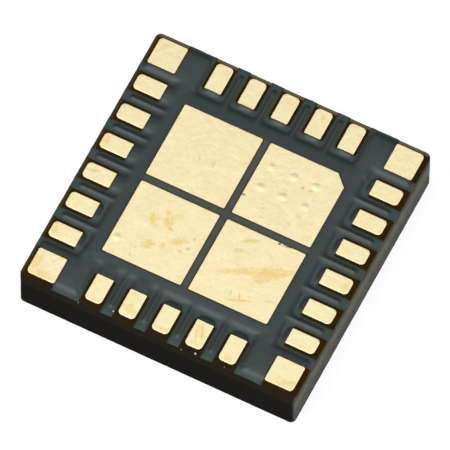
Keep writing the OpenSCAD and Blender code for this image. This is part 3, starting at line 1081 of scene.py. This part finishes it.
# %% Wall finishes
def sawn_finish(name, bare, dust_and_light_tones, faces, grit_size):
    """A dull sawn resin with a fine grain: bare tones, pale tones of dust and painted light, and colours
    laid over by marks.
    """
    material, tree, where = start_material(name)
    # this mark is partly saw dust and partly painted light on the wall facing +X
    film = add(tree, "ShaderNodeAttribute", {"attribute_name": "dust_and_painted_light"})
    grit = add(tree, "ShaderNodeTexNoise", {"Scale": per_mm(grit_size), "Detail": 3.0}, where)
    bare_tone, pale_tone = [
        add(
            tree, "ShaderNodeMix", {"data_type": "RGBA", 6: linear(tones[0]), 7: linear(tones[1])},
            {0: grit.outputs[0]},
        )
        for tones in (bare, dust_and_light_tones)
    ]
    wall = add(
        tree, "ShaderNodeMix", {"data_type": "RGBA"},
        {0: film.outputs["Fac"], 6: bare_tone.outputs[2], 7: pale_tone.outputs[2]},
    )
    ridges = add(
        tree, "ShaderNodeBump", {"Strength": 0.5, "Distance": 0.002 * MM},
        {"Height": grit.outputs[0]},
    )
    shader = add(
        tree, "ShaderNodeBsdfPrincipled", {"Roughness": 0.75, "Specular IOR Level": 0.01},
        {"Base Color": lay_over(tree, wall.outputs[2], faces), "Normal": ridges.outputs[0]},
    )
    add(tree, "ShaderNodeOutputMaterial", None, {"Surface": shader.outputs[0]})
    return material


# the second pair of tones is the pale grey of saw dust and painted light
epoxy.data.materials.append(
    sawn_finish("silica_filled_epoxy", ("#191713", "#1e1c18"), ("#605f57", "#86857c"), {}, 0.035)
)
laminate.data.materials.append(
    sawn_finish(
        "glass_and_resin_laminate", ("#201d16", "#26231c"), ("#5a5a52", "#7d7d73"),
        {"cut_top": "#2c1b05", "far_top": "#58513a"}, 0.03,
    )
)
print("sawn finishes on", epoxy.name, "and", laminate.name)

# %% [markdown]
# ## What is inside
# Foil, plugs, paddle, die and wires are closed in. They keep their solids, and get the finish of
# the real material, for a reader who takes the part open. Their grain is drawn at 0.01 to 0.03 mm,
# coarser than the real one, so that it would show.

# %% Finishes of the inner solids
def plain_finish(name, colours, metallic, roughness, grain_size):
    """A plain finish with one uneven tone, which is a mix of two colours by noise."""
    material, tree, where = start_material(name)
    noise = add(tree, "ShaderNodeTexNoise", {"Scale": per_mm(grain_size), "Detail": 3.0}, where)
    tone = add(
        tree, "ShaderNodeMix", {"data_type": "RGBA", 6: linear(colours[0]), 7: linear(colours[1])},
        {0: noise.outputs[0]},
    )
    shader = add(
        tree, "ShaderNodeBsdfPrincipled", {"Metallic": metallic, "Roughness": roughness},
        {"Base Color": tone.outputs[2]},
    )
    add(tree, "ShaderNodeOutputMaterial", None, {"Surface": shader.outputs[0]})
    return material


# rolled foil has a soft orange sheen, and its brown oxide, which resin sticks to, is dull and dark
foil_finish = plain_finish("rolled_copper_foil", ("#b8704a", "#d08a60"), 1.0, 0.35, 0.03)
oxide_finish = plain_finish("brown_oxide_on_copper_foil", ("#2e1a0a", "#3c240f"), 0.0, 0.8, 0.03)
# bond gold is pale and satin, a film full of silver flakes dull grey, ground silicon dark with a low
# shine, drawn wire smooth and bright, and torn glass and resin matt and pale
INNER = {
    "ground_copper": oxide_finish,
    "signal_copper": oxide_finish,
    "thermal_vias": foil_finish,
    "land_vias": foil_finish,
    "die_paddle": foil_finish,
    "bond_fingers": plain_finish("soft_bond_gold", ("#f3dc9a", "#e8cc84"), 1.0, 0.35, 0.03),
    "die_attach": plain_finish("silver_filled_film", ("#8f8f8a", "#a5a5a0"), 0.0, 0.6, 0.02),
    "die": plain_finish("ground_silicon", ("#4a4d55", "#5c6068"), 0.6, 0.3, 0.02),
    "bond_wires": plain_finish("drawn_gold_wire", ("#f0cf78", "#e2bb5c"), 1.0, 0.25, 0.02),
}
for node, finish in INNER.items():
    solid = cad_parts[node]
    solid.data.materials.clear()
    solid.data.materials.append(finish)
burr_finish = plain_finish("torn_glass_and_resin", ("#8f8c80", "#b8b5aa"), 0.0, 0.9, 0.01)
burrs.data.materials.append(burr_finish)
print("inner finishes on", len(INNER), "solids")

# %% [markdown]
# ## Floor
# A sheet of white paper carries the package. Where the camera sees it, directly or mirrored in
# metal, a glow lifts it to white and leaves it the object's shadow. More light would do that too,
# but it would bleach the object.

# %% Floor
floor_reach = 200.0
floor_gap = 0.002
far, near = floor_reach, -floor_reach
floor_plan = np.array([(near, near), (far, near), (far, far), (near, far)])
floor_points = np.insert(floor_plan, 2, -floor_gap, axis=1)
floor = mesh_piece("floor", floor_points, [(0, 1, 2, 3)])
paper, tree = start_material("white_paper_sweep")[:2]
path = add(tree, "ShaderNodeLightPath")
seen = add(
    tree, "ShaderNodeMath", {"operation": "MAXIMUM"},
    {0: path.outputs["Is Camera Ray"], 1: path.outputs["Is Glossy Ray"]},
)
shown = add(
    tree, "ShaderNodeMath", {"operation": "MAXIMUM"},
    {0: seen.outputs[0], 1: path.outputs["Is Transmission Ray"]},
)
plain = add(tree, "ShaderNodeBsdfDiffuse", {"Color": linear("#e8e8e8")})
faint = add(tree, "ShaderNodeBsdfDiffuse", {"Color": linear("#626262")})
glow = add(tree, "ShaderNodeEmission", {"Color": linear("#ffffff"), "Strength": 0.88})
lifted = add(tree, "ShaderNodeAddShader", None, {0: faint.outputs[0], 1: glow.outputs[0]})
choice = add(
    tree, "ShaderNodeMixShader", None,
    {0: shown.outputs[0], 1: plain.outputs[0], 2: lifted.outputs[0]},
)
add(tree, "ShaderNodeOutputMaterial", None, {"Surface": choice.outputs[0]})
floor.data.materials.append(paper)
print("floor reaches", floor_reach, "mm to each side")

# %% [markdown]
# ## Light
# A broad soft sky stands for a studio tent. Area lamps would do, but metal would mirror their
# edges. The sky is brightest near the zenith and towards -Y, so the mask's slopes read light on one
# side and dark on the other. Two weak side lamps and a glow along the horizon give the gold
# something to mirror in other views.

# %% Soft sky
# direction, power of the cosine (a higher one is narrower) and strength
LAMPS = (
    ((-0.1, -0.05, 0.99), 10.0, 2.65),
    ((-0.1, -0.42, 0.9), 12.0, 3.8),
    ((0.75, 0.0, 0.66), 4.0, 0.5),
    ((-0.8, -0.2, 0.56), 4.0, 0.35),
)
fill_light = 0.04
horizon_glow = 0.5
horizon_power = 4.0
world = bpy.data.worlds.new("studio_tent")
bpy.context.scene.world = world
world.use_nodes = True
tree = world.node_tree
tree.nodes.clear()
coords = add(tree, "ShaderNodeTexCoord")
total = add(tree, "ShaderNodeValue")
total.outputs[0].default_value = fill_light
for way, power, strength in LAMPS:
    towards = add(
        tree, "ShaderNodeVectorMath", {"operation": "DOT_PRODUCT", 1: Vector(way).normalized()},
        {0: coords.outputs["Generated"]},
    )
    front = add(tree, "ShaderNodeMath", {"operation": "MAXIMUM", 1: 0.0}, {0: towards.outputs["Value"]})
    lobe = add(tree, "ShaderNodeMath", {"operation": "POWER", 1: power}, {0: front.outputs[0]})
    total = add(
        tree, "ShaderNodeMath", {"operation": "MULTIPLY_ADD", 1: strength},
        {0: lobe.outputs[0], 2: total.outputs[0]},
    )
# the glow is (1 - height^2)^power, with the height from 0 at the horizon to 1 at the zenith
height = add(tree, "ShaderNodeSeparateXYZ", None, {0: coords.outputs["Generated"]})
squared = add(
    tree, "ShaderNodeMath", {"operation": "MULTIPLY"}, {0: height.outputs["Z"], 1: height.outputs["Z"]},
)
lowness = add(tree, "ShaderNodeMath", {"operation": "SUBTRACT", 0: 1.0}, {1: squared.outputs[0]})
band = add(tree, "ShaderNodeMath", {"operation": "POWER", 1: horizon_power}, {0: lowness.outputs[0]})
total = add(
    tree, "ShaderNodeMath", {"operation": "MULTIPLY_ADD", 1: horizon_glow},
    {0: band.outputs[0], 2: total.outputs[0]},
)
sky = add(tree, "ShaderNodeBackground", {"Color": linear("#ffffff")}, {"Strength": total.outputs[0]})
add(tree, "ShaderNodeOutputWorld", None, {"Surface": sky.outputs[0]})
bpy.context.scene.view_settings.view_transform = "Standard"
print("sky has", len(LAMPS), "soft lamps")

# %% [markdown]
# ## Camera
# A long lens far away, as in a product photo: upright edges stay nearly parallel. Its place is
# given by the turn round the object, the height above the horizon and a slight roll.

# %% Camera
view_azimuth = math.radians(26.3)
view_elevation = math.radians(62.89)
view_roll = math.radians(0.62)
view_distance = 187.6
aim = Vector((0.0664, -0.1531, contact_top))
lens = 1120.0
sensor = 36.0
sin_a, cos_a = math.sin(view_azimuth), math.cos(view_azimuth)
sin_e, cos_e = math.sin(view_elevation), math.cos(view_elevation)
back = Vector((sin_a * cos_e, -cos_a * cos_e, sin_e))
level_right = Vector((cos_a, sin_a, 0.0))
level_up = back.cross(level_right)
right = level_right * math.cos(view_roll) + level_up * math.sin(view_roll)
up = level_up * math.cos(view_roll) - level_right * math.sin(view_roll)
eye = (aim + back * view_distance) * MM
camera_data = bpy.data.cameras.new("camera")
camera_data.lens = lens
camera_data.sensor_width = sensor
camera_data.clip_start = 0.001
camera_data.clip_end = 1.0
camera = bpy.data.objects.new("camera", camera_data)
bpy.context.scene.collection.objects.link(camera)
camera.matrix_world = Matrix.Translation(eye) @ Matrix((right, up, back)).transposed().to_4x4()
bpy.context.scene.camera = camera
print("camera stands", round(view_distance), "mm away")
